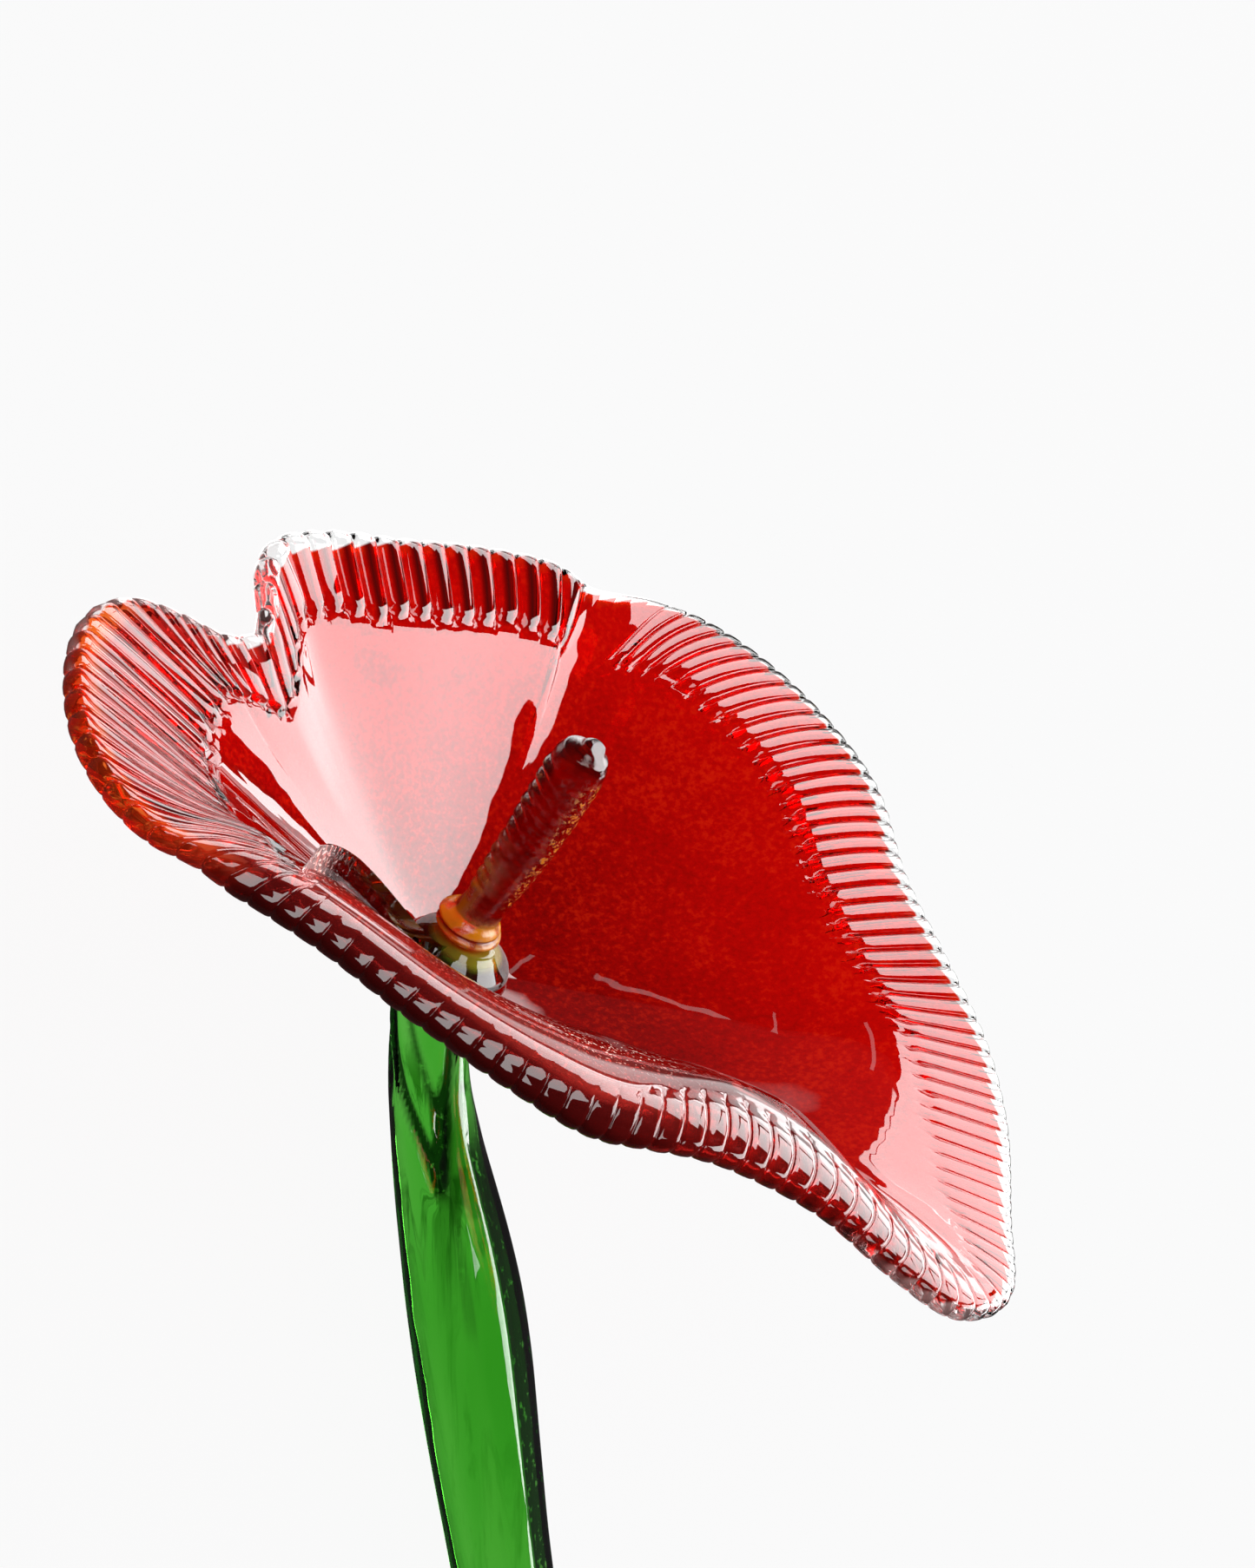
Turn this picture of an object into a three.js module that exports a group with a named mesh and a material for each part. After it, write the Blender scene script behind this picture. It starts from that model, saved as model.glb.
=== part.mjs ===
// A glass anthurium flower, cut at the stem and lying on a flat surface.
// Millimetres, +Z up, the surface at z = 0. The heart-shaped dish is the spathe. Its axis is
// tilted: it rests on its far rim, and the green stem lies along the surface towards -Y.
import * as THREE from 'three';

// ---- Driving dimensions ---------------------------------------------------------------

// The dish's axis in the lying flower, as turns about X, then Y, then Z, in degrees, and the
// middle of the dish's floor, where the button sits.
const bloomTurn = [-41.3, 8.3, -59.2];
const seat = [0, 103.2, 13.23];

// The rim, as a closed curve seen down the dish's axis. Each row has the angle round the axis
// from the tip (degrees), the radius and the height above the seat (mm), the slope of the
// crimped band (degrees, up to the edge) and how far the band runs in before the bowl begins.
const rimRows = [
  [-163, 34.5, 20.5, 30, 9], // the notch and the curled lobe beside it
  [-167, 35.5, 22.5, 42, 10],
  [-170, 37.5, 24.5, 48, 12],
  [-176, 39, 25.5, 48, 13],
  [173, 38, 25.5, 42, 14], // the top rim
  [158, 36.5, 25, 37, 14],
  [141, 38, 24.5, 35, 14],
  [127, 40.5, 24, 32, 14],
  [120, 42, 22.5, 24, 14],
  [110, 47.5, 22, 19, 15], // the right rim
  [100, 50, 22, 16, 16],
  [88, 51, 21.5, 16, 17],
  [74, 50, 21, 18, 16],
  [58, 46.5, 20, 23, 14],
  [45, 48, 19.5, 25, 14],
  [33, 52.5, 18.5, 21, 14],
  [21, 56.5, 18, 13, 14],
  [8, 61.5, 17.5, 8, 13], // the tip
  [0, 66.5, 17.5, 4, 12],
  [-4, 67, 17.5, 1, 12],
  [-8, 65.5, 18, -2, 12],
  [-11, 60, 18.5, -5, 13],
  [-16, 52, 20, -9, 14], // the near rim, rolled outwards
  [-27, 46.5, 21.5, -15, 15],
  [-38, 45.5, 22.3, -19, 16],
  [-48, 45.5, 22.5, -23, 16],
  [-58, 43.8, 22.8, -24, 14],
  [-74, 42, 23.2, -21, 11],
  [-90, 42.5, 23.5, -16, 11],
  [-104, 47.5, 23.5, -7, 14], // the left lobe
  [-109, 52, 23.5, 4, 19],
  [-115, 54, 23.5, 12, 22],
  [-123, 54.5, 23.5, 18, 23],
  [-133, 53.5, 23.5, 22, 22],
  [-141, 52, 23.5, 24, 20],
  [-146, 50, 23.5, 24, 18],
  [-150, 47, 23, 22, 15],
  [-153, 42.5, 22, 18, 12],
  [-157, 37.5, 20.5, 18, 10],
];
const bowlWall = 3.2;
const rimWall = 2.2;
const wallTaperStart = 0.6;
const holeRadius = 4.6;
const floorReach = 16; // how far out the bowl's floor stays flat, and how much more at the back
const floorReachBack = 4;
const floorDip = 0.5;

// Rows of points from 0 at the hole to 1 at the edge. The ribs begin with the band.
const bowlRows = [0, 0.1, 0.22, 0.35, 0.48, 0.61];
const bandRows = [0.75, 0.83, 0.915, 1];

// The crimped ribs: two columns of points make one rib.
const ribCount = 140;
const ribDepth = 0.7;
const ribRise = 0.06; // how much of the way from hole to edge a rib takes to reach its depth
const nearRibStart = 0.85; // the near rim's ribs are shorter, and begin here
const nearFrom = [-108, -95]; // the near rim's stretch begins and ends between these angles
const nearTo = [-35, -20];
const ribLean = 18; // degrees, on the right rim and the tip
const leanStart = [-110, -40]; // the lean grows and fades between these angles
const leanEnd = [98, 118];
const plainStart = [106, 110]; // the ribs stop between these angles, and begin again
const plainEnd = [119, 123];
const edgeBulge = 0.8;
const beadDepth = 0.25;
const columnsPerFacet = 4; // band columns to one column of the bowl

// The stem: its underside's route over the surface, as x, y and the height of the underside.
const stemRoute = [
  [0, 91, 1],
  [1.2, 84, 0.2],
  [2.2, 77.5, 0],
  [3.3, 68.5, 0],
  [5.2, 53.5, 0],
  [7.4, 38.5, 0],
  [12.5, 5.5, 0],
  [19.5, -34.5, 0],
  [24, -80.5, 0],
  [23.5, -118.5, 0],
  [20.5, -146.5, 0],
];
const neckLength = 6;
const stemSides = 16;
const stemSpacing = 4.5;
const stemMeanRadius = 5.3;
// Distance along the stem from the seat, and its radius there.
const stemRadii = [[0, 4.1], [11, 4.1], [24, 4.9], [33, 5.8], [42, 6.2], [53, 5.8], [68, 5.1], [250, 4.9]];
const stemOval = 0.07;
const stemRidges = 5;
const stemRidgeDepth = 0.035;
const stemTwist = 0.5; // degrees per mm
const shapedFrom = [10, 30]; // the neck turns from round to ridged over this stretch
const laidFrom = [14, 34]; // and comes down to its route over this one
const cutInset = 0.3; // the cut end: how far its ring shrinks, and how far it stands out
const cutRounding = [1.6, 2.1];

// The button on top of the stem: height above the seat, and radius.
const buttonProfile = [[0.4, 5.35], [0.8, 5.65], [1.3, 5.55], [1.9, 5.05], [2.5, 4.0], [3.0, 2.2]];
const buttonTop = 3.15;

// The spadix: height above the seat, radius, and how far its middle is off the dish's axis.
const spadixProfile = [
  [3.45, 2.3, -1.0], [3.75, 3.05, -1.0], [4.5, 3.5, -1.0], [5.3, 3.3, -1.0], [5.9, 2.5, -0.9],
  [6.5, 2.05, -0.8], [10, 2.1, -0.6], [16, 2.3, -0.4], [22, 2.45, -0.4], [27, 2.6, -0.5],
  [29.6, 2.5, -0.6], [30.8, 1.9, -0.6], [31.3, 1.1, -0.6],
];
const spadixSides = 18;
const spadixStep = 0.65;
const spadixRod = [8, 29];
const scaleHeight = 0.16;
const scalePitch = 1.3;
const scaleRows = 6;

// ---- Helpers ---------------------------------------------------------------------------

const radians = THREE.MathUtils.degToRad;
const smooth = THREE.MathUtils.smoothstep;
const lerp = THREE.MathUtils.lerp;

// Linear value at x from rows of [x, value, ...].
function along(rows, x, column = 1) {
  const last = rows.length - 1;
  if (x <= rows[0][0]) return rows[0][column];
  if (x >= rows[last][0]) return rows[last][column];
  const k = rows.findIndex((row) => row[0] > x);
  const [low, high] = [rows[k - 1], rows[k]];
  return lerp(low[column], high[column], (x - low[0]) / (high[0] - low[0]));
}

// Collects points and triangles, and gives one closed geometry.
class Solid {
  points = [];
  faces = [];

  add(point) {
    this.points.push(point.x, point.y, point.z);
    return this.points.length / 3 - 1;
  }

  // Two triangles between neighbouring points of two rows: a, b on one and d, c on the other.
  quad(a, b, c, d) {
    this.faces.push(a, b, c, a, c, d);
  }

  geometry() {
    const geometry = new THREE.BufferGeometry();
    geometry.setAttribute('position', new THREE.Float32BufferAttribute(this.points, 3));
    geometry.setIndex(this.faces);
    geometry.computeVertexNormals();
    return geometry;
  }
}

// A closed solid through rings of equal length, with a point at each end. The rings turn
// counter-clockwise seen from the last end.
function loft(first, rings, last) {
  const solid = new Solid();
  const ids = rings.map((ring) => ring.map((point) => solid.add(point)));
  const sides = rings[0].length;
  for (let i = 0; i + 1 < ids.length; i += 1) {
    for (let k = 0; k < sides; k += 1) {
      const next = (k + 1) % sides;
      solid.quad(ids[i][k], ids[i][next], ids[i + 1][next], ids[i + 1][k]);
    }
  }
  const start = solid.add(first);
  const end = solid.add(last);
  const top = ids[ids.length - 1];
  for (let k = 0; k < sides; k += 1) {
    const next = (k + 1) % sides;
    solid.faces.push(start, ids[0][next], ids[0][k]);
    solid.faces.push(end, top[k], top[next]);
  }
  return solid.geometry();
}

// ---- The spathe ------------------------------------------------------------------------

const rimCurve = new THREE.CatmullRomCurve3(
  rimRows.map(([angle, radius, height]) => new THREE.Vector3(
    radius * Math.cos(radians(angle)), radius * Math.sin(radians(angle)), height,
  )),
  true,
);
rimCurve.arcLengthDivisions = 2000;
const bandCurve = new THREE.CatmullRomCurve3(
  rimRows.map(([, , , slope, reach]) => new THREE.Vector3(slope, reach, 0)),
  true,
  'catmullrom',
);

// The four control points of the dish's inner face on the line that meets the rim at u, a
// fraction of the rim's length, and how strong the ribs are there and where they begin.
function rimLine(u) {
  const t = rimCurve.getUtoTmapping(u);
  const edge = rimCurve.getPoint(t);
  const travel = rimCurve.getTangent(t);
  const { x: slope, y: reach } = bandCurve.getPoint(t);
  const angle = THREE.MathUtils.radToDeg(Math.atan2(edge.y, edge.x));
  const lean = ribLean * smooth(angle, ...leanStart) * (1 - smooth(angle, ...leanEnd));
  const inward = new THREE.Vector3(travel.y, -travel.x, 0).normalize();
  inward.applyAxisAngle(new THREE.Vector3(0, 0, 1), -radians(lean));
  const bandFoot = edge.clone()
    .addScaledVector(inward, reach * Math.cos(radians(slope)))
    .add(new THREE.Vector3(0, 0, -reach * Math.sin(radians(slope))));
  const outward = new THREE.Vector3(edge.x, edge.y, 0).normalize();
  const flat = floorReach + floorReachBack * outward.y;
  const floor = outward.clone().multiplyScalar(flat).setZ(-floorDip);
  const ribs = 1 - smooth(angle, ...plainStart) * (1 - smooth(angle, ...plainEnd));
  const near = smooth(angle, ...nearFrom) * (1 - smooth(angle, ...nearTo));
  const ribStart = lerp(bandRows[0], nearRibStart, near);
  return { points: [outward.multiplyScalar(holeRadius), floor, bandFoot, edge], ribs, ribStart };
}

// A point of the smooth inner face, from v = 0 at the hole to 1 at the edge.
function facePoint({ points: [a, b, c, d] }, v) {
  const w = 1 - v;
  return new THREE.Vector3()
    .addScaledVector(a, w * w * w)
    .addScaledVector(b, 3 * w * w * v)
    .addScaledVector(c, 3 * w * v * v)
    .addScaledVector(d, v * v * v);
}

// The inner and the outer point of the wall at one place, with the rib that passes there.
function wallPoints(u, v, rib) {
  const step = 1e-3;
  const line = rimLine(u);
  const middle = facePoint(line, v);
  const radial = facePoint(line, Math.min(1, v + step)).sub(facePoint(line, Math.max(0, v - step)));
  const around = facePoint(rimLine((u + step) % 1), v).sub(facePoint(rimLine((u + 1 - step) % 1), v));
  const normal = new THREE.Vector3().crossVectors(around, radial).normalize();
  const grown = smooth(v, line.ribStart, line.ribStart + ribRise);
  const height = 0.5 * ribDepth * rib * line.ribs * grown;
  const wall = lerp(bowlWall, rimWall, smooth(v, wallTaperStart, 1));
  return {
    inner: middle.clone().addScaledVector(normal, height),
    outer: middle.clone().addScaledVector(normal, -wall - height),
    outward: radial.normalize(),
  };
}

function spatheGeometry() {
  const solid = new Solid();
  const columns = 2 * ribCount;
  const facets = columns / columnsPerFacet;
  const row = (count, v) => {
    const inner = [];
    const outer = [];
    for (let k = 0; k < count; k += 1) {
      const wall = wallPoints(k / count, v, k % 2 ? 1 : -1);
      inner.push(solid.add(wall.inner));
      outer.push(solid.add(wall.outer));
    }
    return { inner, outer };
  };
  // Both faces are split along the same diagonals.
  const strip = (low, high, count) => {
    for (let k = 0; k < count; k += 1) {
      const next = (k + 1) % count;
      solid.quad(low.inner[k], low.inner[next], high.inner[next], high.inner[k]);
      solid.faces.push(low.outer[k], high.outer[next], low.outer[next]);
      solid.faces.push(low.outer[k], high.outer[k], high.outer[next]);
    }
  };
  const bowl = bowlRows.map((v) => row(facets, v));
  const band = bandRows.map((v) => row(columns, v));
  for (let i = 0; i + 1 < bowl.length; i += 1) strip(bowl[i], bowl[i + 1], facets);
  for (let i = 0; i + 1 < band.length; i += 1) strip(band[i], band[i + 1], columns);

  // A fan of band columns on each column of the bowl.
  const low = bowl[bowl.length - 1];
  const high = band[0];
  for (let k = 0; k < facets; k += 1) {
    const next = (k + 1) % facets;
    const half = k * columnsPerFacet + columnsPerFacet / 2;
    const fan = (foot, from, to) => {
      for (let j = from; j < to; j += 1) {
        const after = (j + 1) % columns;
        solid.faces.push(low.inner[foot], high.inner[after], high.inner[j]);
        solid.faces.push(low.outer[foot], high.outer[j], high.outer[after]);
      }
    };
    fan(k, k * columnsPerFacet, half);
    fan(next, half, (k + 1) * columnsPerFacet);
    solid.faces.push(low.inner[k], low.inner[next], high.inner[half]);
    solid.faces.push(low.outer[k], high.outer[half], low.outer[next]);
  }

  // The rounded, beaded edge and the hole's wall.
  const edge = band[band.length - 1];
  const bead = [];
  for (let k = 0; k < columns; k += 1) {
    const rib = k % 2 ? 1 : -1;
    const { inner, outer, outward } = wallPoints(k / columns, 1, rib);
    const point = inner.add(outer).multiplyScalar(0.5);
    bead.push(solid.add(point.addScaledVector(outward, edgeBulge + beadDepth * rib)));
  }
  for (let k = 0; k < columns; k += 1) {
    const next = (k + 1) % columns;
    solid.quad(edge.inner[k], edge.inner[next], bead[next], bead[k]);
    solid.quad(bead[k], bead[next], edge.outer[next], edge.outer[k]);
  }
  const hole = bowl[0];
  for (let k = 0; k < facets; k += 1) {
    const next = (k + 1) % facets;
    solid.quad(hole.inner[next], hole.inner[k], hole.outer[k], hole.outer[next]);
  }
  return solid.geometry();
}

// ---- The stem and its button -------------------------------------------------------------

const bloomEuler = new THREE.Euler(...bloomTurn.map(radians), 'XYZ');
const bloomAxis = new THREE.Vector3(0, 0, 1).applyEuler(bloomEuler);
const seatPoint = new THREE.Vector3(...seat);

function ringAround(middle, right, up, sides, radiusAt) {
  return Array.from({ length: sides }, (unused, k) => {
    const angle = (2 * Math.PI * k) / sides;
    const radius = radiusAt(angle);
    return middle.clone()
      .addScaledVector(right, radius * Math.cos(angle))
      .addScaledVector(up, radius * Math.sin(angle));
  });
}

function stemGeometry() {
  const neckEnd = seatPoint.clone().addScaledVector(bloomAxis, -neckLength);
  const path = new THREE.CatmullRomCurve3([
    seatPoint,
    seatPoint.clone().addScaledVector(bloomAxis, -neckLength / 2),
    neckEnd,
    ...stemRoute.map(([x, y, lift]) => new THREE.Vector3(x, y, lift + stemMeanRadius)),
  ]);
  path.arcLengthDivisions = 1000;
  const length = path.getLength();
  const steps = Math.round(length / stemSpacing);
  const frames = path.computeFrenetFrames(steps, false);
  const rings = [];

  const [right, up] = [frames.normals[0], frames.binormals[0]];
  const buttonRings = buttonProfile.toReversed().map(([height, radius]) => ringAround(
    seatPoint.clone().addScaledVector(bloomAxis, height), right, up, stemSides, () => radius,
  ));
  rings.push(...buttonRings);

  for (let i = 0; i <= steps; i += 1) {
    const middle = path.getPointAt(i / steps);
    const distance = (i / steps) * length;
    const radius = along(stemRadii, distance);
    const shaped = smooth(distance, ...shapedFrom);
    const turn = radians(stemTwist * distance);
    const radiusAt = (angle) => radius * (1
      + shaped * stemOval * Math.cos(2 * (angle - turn))
      + shaped * stemRidgeDepth * Math.cos(stemRidges * (angle - turn)));
    const ring = ringAround(middle, frames.normals[i], frames.binormals[i], stemSides, radiusAt);
    // The ring is lowered until its underside is at the route's height.
    const lift = along(stemRoute.map(([, y, height]) => [-y, height]), -middle.y);
    const underside = Math.min(...ring.map((point) => point.z));
    const laid = smooth(distance, ...laidFrom);
    ring.forEach((point) => point.setZ(point.z + laid * (lift - underside)));
    rings.push(ring);
  }

  // The cut end is rounded off.
  const lastRing = rings[rings.length - 1];
  const tangent = frames.tangents[steps];
  const middle = lastRing.reduce((sum, point) => sum.add(point), new THREE.Vector3())
    .divideScalar(stemSides);
  const [shoulder, tip] = cutRounding;
  rings.push(lastRing.map(
    (point) => point.clone().lerp(middle, cutInset).addScaledVector(tangent, shoulder),
  ));
  const top = seatPoint.clone().addScaledVector(bloomAxis, buttonTop);
  return loft(top, rings, middle.clone().addScaledVector(tangent, tip));
}

// ---- The spadix ----------------------------------------------------------------------------

function spadixGeometry() {
  const [bottom, , bottomShift] = spadixProfile[0];
  const [top, , topShift] = spadixProfile[spadixProfile.length - 1];
  const heights = spadixProfile.map(([height]) => height).filter((height) => height < spadixRod[0]);
  for (let height = spadixRod[0]; height < spadixRod[1]; height += spadixStep) heights.push(height);
  heights.push(...spadixProfile.map(([height]) => height).filter((height) => height > spadixRod[1]));
  const right = new THREE.Vector3(1, 0, 0);
  const up = new THREE.Vector3(0, 1, 0);
  const rings = heights.map((height) => {
    const radius = along(spadixProfile, height);
    const middle = new THREE.Vector3(along(spadixProfile, height, 2), 0, height);
    const onRod = height >= spadixRod[0] && height < spadixRod[1] ? 1 : 0;
    const radiusAt = (angle) => radius + onRod * scaleHeight
      * Math.cos(scaleRows * angle + (2 * Math.PI * height) / scalePitch);
    return ringAround(middle, right, up, spadixSides, radiusAt);
  });
  return loft(
    new THREE.Vector3(bottomShift, 0, bottom - 0.02),
    rings,
    new THREE.Vector3(topShift, 0, top + 0.25),
  );
}

// ---- The flower ------------------------------------------------------------------------------

function piece(name, geometry, color, roughness) {
  const material = new THREE.MeshStandardMaterial({ color, roughness, metalness: 0 });
  const mesh = new THREE.Mesh(geometry, material);
  mesh.name = name;
  return mesh;
}

const bloom = new THREE.Group();
bloom.position.copy(seatPoint);
bloom.rotation.copy(bloomEuler);
bloom.add(piece('spathe', spatheGeometry(), 0xb80a06, 0.06));
bloom.add(piece('spadix', spadixGeometry(), 0x8a2606, 0.08));

const flower = new THREE.Group();
flower.add(bloom);
flower.add(piece('stem', stemGeometry(), 0x1f8a2a, 0.06));

export default flower;
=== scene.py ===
"""A hand-made glass anthurium flower, lying on a pale surface and seen from above.

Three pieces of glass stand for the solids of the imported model: the ruby heart with its crimped,
clear rim, the green stem with its button, and the amber spadix on its coiled foot.
Lengths in the tables are in millimetres, and meshes are made in metres.
"""

import math

import bpy
import numpy as np
from bpy.props import FloatProperty, FloatVectorProperty, IntProperty, PointerProperty
from bpy.types import Operator, Panel, PropertyGroup
from mathutils import Matrix, Vector


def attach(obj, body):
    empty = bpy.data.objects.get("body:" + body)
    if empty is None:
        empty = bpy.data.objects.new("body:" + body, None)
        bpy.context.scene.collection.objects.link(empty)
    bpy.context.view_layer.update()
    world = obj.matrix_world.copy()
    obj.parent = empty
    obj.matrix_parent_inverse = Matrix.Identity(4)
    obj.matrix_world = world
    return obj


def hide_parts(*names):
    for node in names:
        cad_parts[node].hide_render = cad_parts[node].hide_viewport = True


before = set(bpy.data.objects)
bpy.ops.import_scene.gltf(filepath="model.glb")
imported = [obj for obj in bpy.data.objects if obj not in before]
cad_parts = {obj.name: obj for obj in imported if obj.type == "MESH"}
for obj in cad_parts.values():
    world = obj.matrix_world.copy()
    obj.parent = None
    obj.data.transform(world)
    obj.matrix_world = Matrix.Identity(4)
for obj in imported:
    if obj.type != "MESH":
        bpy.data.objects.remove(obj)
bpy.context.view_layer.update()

bl_info = {
    "name": "Glass Anthurium",
    "version": (1, 0, 0),
    "blender": (4, 5, 0),
    "location": "View3D > Sidebar > Glass Flower",
    "description": "Dresses a lying glass anthurium: heart, stem, spadix and stage",
    "category": "Object",
}

BODY = "root"
MM = 0.001

# ---- Where the flower lies ----

# The dish's own frame: its axis is z, its floor's middle the origin, and the heart's tip is on x.
BLOOM_TURN = (-41.3, 8.3, -59.2)
SEAT = (0.0, 103.2, 13.23)

# ---- The dish ----

# The rim seen down the dish's axis: angle from the tip, radius and height of the edge, slope of
# the crimped band, how far the band runs in, how long the ribs are, how far from the edge the wall
# has a crease and how high it stands there, how far short of the edge the ruby ends, and how far
# the ribs lean.
RIM = (
    (-163, 34.5, 20.5, 30, 9, 8, 8, 0.4, 0.5, 0),  # the notch and the curled lobe beside it
    (-167, 35.5, 22.5, 42, 10, 8, 8, 0.4, 0.5, 0),
    (-170, 37.5, 24.5, 48, 12, 8, 8, 0.4, 0.5, 0),
    (-176, 39, 25.5, 48, 13, 8, 8, 0.4, 0.6, 0),
    (173, 38, 25.5, 42, 14, 8, 8, 0.9, 0.8, 0),  # the top rim
    (158, 36.5, 25, 37, 14, 8, 8, 1.2, -0.5, 0),
    (141, 38, 24.5, 35, 14, 8, 8, 1.2, -0.6, 0),
    (127, 40.5, 24, 32, 14, 8, 8, 0.9, -0.4, 0),
    (120, 42, 22.5, 24, 14, 10, 9, 0.2, 0.6, -20),
    (110, 47.5, 22, 19, 15, 12, 11, 0.2, 0.6, -38),  # the right rim
    (100, 50, 22, 16, 16, 12, 11, 0.9, 0.6, -32),
    (88, 51, 21.5, 16, 17, 12, 11, 1.5, 0.7, -12),
    (74, 50, 21, 18, 16, 11, 10, 1.6, 0.7, 5),
    (58, 46.5, 20, 23, 14, 10, 9, 1.6, 0.6, 9),
    (45, 48, 19.5, 25, 14, 9.5, 9, 1.6, 0.6, 7),
    (33, 52.5, 18.5, 21, 14, 9, 9, 1.6, 0.6, 3),
    (21, 56.5, 18, 13, 14, 8.5, 10, 1.5, 0.6, 10),
    (8, 61.5, 17.5, 8, 13, 7.5, 14, 1.6, 0.6, 14),  # the tip
    (0, 66.5, 17.5, 4, 12, 5, 17, 1.7, 0.5, 8),
    (-4, 67, 17.5, 1, 12, 5, 20, 2.0, 0.1, -5),
    (-8, 65.5, 18, 3, 12, 6, 21, 2.8, -0.6, -8),
    (-11, 60, 18.5, 2, 13, 6, 19, 3.0, -1.0, -3),
    (-16, 52, 20, -3, 14, 6.5, 14, 2.8, -1.3, 0),  # the near rim, rolled outwards
    (-27, 46.5, 21.5, -12, 15, 7, 10, 1.6, -1.5, 0),
    (-38, 45.5, 22.3, -19, 16, 6, 8, 0.3, -1.5, 3),
    (-48, 45.5, 22.5, -23, 16, 3.2, 8, 0, -1.5, 10),
    (-58, 43.8, 22.8, -24, 14, 2.6, 8, 0, -1.5, 12),
    (-74, 42, 23.2, -21, 11, 2.2, 8, 0, -1.5, 0),
    (-90, 42.5, 23.5, -16, 11, 2.6, 8, 0, -1.5, 0),
    (-104, 47.5, 23.5, -7, 14, 8, 10, 0, -1.5, -35),  # the left lobe
    (-109, 52, 23.5, 4, 19, 13, 17, 0, -1.5, -42),
    (-115, 54, 23.5, 12, 22, 18, 20, 0, -1.5, -40),
    (-123, 54.5, 23.5, 18, 23, 21, 21, 0, -1.5, -18),
    (-133, 53.5, 23.5, 22, 22, 20, 20, 0, -1.2, 7),
    (-141, 52, 23.5, 24, 20, 18, 18, 0, -0.8, 20),
    (-146, 50, 23.5, 24, 18, 16, 16, 0, -0.3, 30),
    (-150, 47, 23, 22, 15, 13, 13, 0, 0.2, 34),
    (-153, 42.5, 22, 18, 12, 10, 10, 0, 0.4, 24),
    (-157, 37.5, 20.5, 18, 10, 8, 8, 0.2, 0.5, 8),
)
# Below the crimped band the wall evens out the notch: angle, radius, height, slope and reach.
WALL = {
    -146: (49.0, 23.3, 24, 18),
    -150: (46.0, 22.8, 25, 16),
    -153: (43.5, 22.5, 27, 14),
    -157: (41.0, 22.3, 30, 13),
    -163: (39.0, 22.6, 34, 12.5),
    -167: (38.5, 23.2, 38, 12.5),
    -170: (38.5, 24.0, 41, 12.5),
    -176: (38.8, 24.8, 44, 13),
}
WALL_BLEND = (0.62, 0.97)
# By the angle from the tip: how deep the ribs are, how dark their painted shade is, and how
# closely they follow each other.
RIB_DEPTHS = ((-180, 1), (-150, 1.1), (-112, 1.1), (-98, 0.2), (-48, 0.16), (-36, 0.42),
              (-14, 0.3), (-6, 0.1), (14, 0.12), (32, 0.45), (58, 0.9), (180, 1))
RIB_PAINTED_SHADES = ((-180, 0.8), (-165, 0.9), (-108, 0.9), (-100, 0), (-52, 0), (-44, 1.6), (-16, 1.5),
              (-7, 0.3), (0, 0), (70, 0), (84, 0.2), (112, 0.3), (124, 1.6), (165, 1.6),
              (180, 0.8))
RIB_CROWDING = ((-180, 0.72), (-156, 0.85), (-148, 0.72), (-112, 0.72), (-100, 0.9), (-20, 0.9),
                (-10, 1), (116, 1), (124, 0.72), (180, 0.72))
# Where the glass is drawn out thin, along the near rim.
DRAWN = ((-180, 0), (-116, 0.2), (-100, 1), (-46, 1), (-32, 0.6), (-14, 0.3), (-4, 0), (180, 0))
DRAWN_WIDTH = (11, 19)  # how far in from the edge it begins to end, and has ended
BEADS = ((-180, 0), (-150, 0), (-142, 1), (-112, 1), (-100, 0), (180, 0))  # orange edges
BEAD_WIDTH = (1.2, 2.4)
EDGE_CURL = (1.3, 4.5)  # how far the drawn edge curls down, and over what width
DUST = (13.0, 4.5)  # how far from the drawn edge dust has settled, and over what width
HOLE_RADIUS = 4.6
FLOOR_REACH = 11
FLOOR_RISE = 1.2
FLOOR_LIFT = (2.7, 168, 48)  # how much higher it is towards an angle, and over how many degrees
TAPER_START = 0.6  # the wall thins from here, of the way from the hole to the edge, to the rim
EDGE_BULGE = 0.8
BEAD_DEPTH = 0.3
BAND_LEAN = 18  # degrees that the band is turned by, on the right rim and the tip
LEAN_START = (-110, -40)
LEAN_END = (98, 118)
PLAIN_START = (106, 110)  # the ribs stop between these angles, and begin again
PLAIN_END = (119, 123)
# The wall evens the rim's bends out over the first two widths, and the ribs' depth over the last.
INWARD_BLUR, FOOT_BLUR, DEPTH_BLUR = 5.0, 4.0, 3.0
RIB_SQUARENESS = 10.0
LINES = 6000
ACROSS = (-1, -0.92, -0.8, -0.6, 0, 0.6, 0.8, 0.92)  # columns of points across a rib
BOWL_ROWS, BAND_ROWS, EDGE_ROWS = 10, 28, 5
BAND_START = 0.6

# ---- The stem ----

# Its underside's route over the surface: x, y and the height of the underside.
STEM_ROUTE = (
    (0, 91, 1),
    (1.2, 84, 0.2),
    (2.2, 77.5, 0),
    (3.3, 68.5, 0),
    (5.2, 53.5, 0),
    (7.4, 38.5, 0),
    (12.5, 5.5, 0),
    (19.5, -34.5, 0),
    (24, -80.5, 0),
    (23.5, -118.5, 0),
    (20.5, -146.5, 0),
)
NECK_LENGTH = 6
STEM_HAND = -1  # angles round the stem run to the right as it is seen from its broad side
STEM_MEAN_RADIUS = 5.3
STEM_RADII = (
    (0, 4.1), (11, 4.1), (24, 4.9), (33, 5.8), (42, 6.2), (53, 5.8), (68, 5.1), (250, 4.9),
)
SHAPED_FROM = (10, 30)
LAID_FROM = (14, 34)
STEM_SHOWS = (-0.5, -0.06, 0.86)  # the way that the stem's broad side faces
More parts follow.
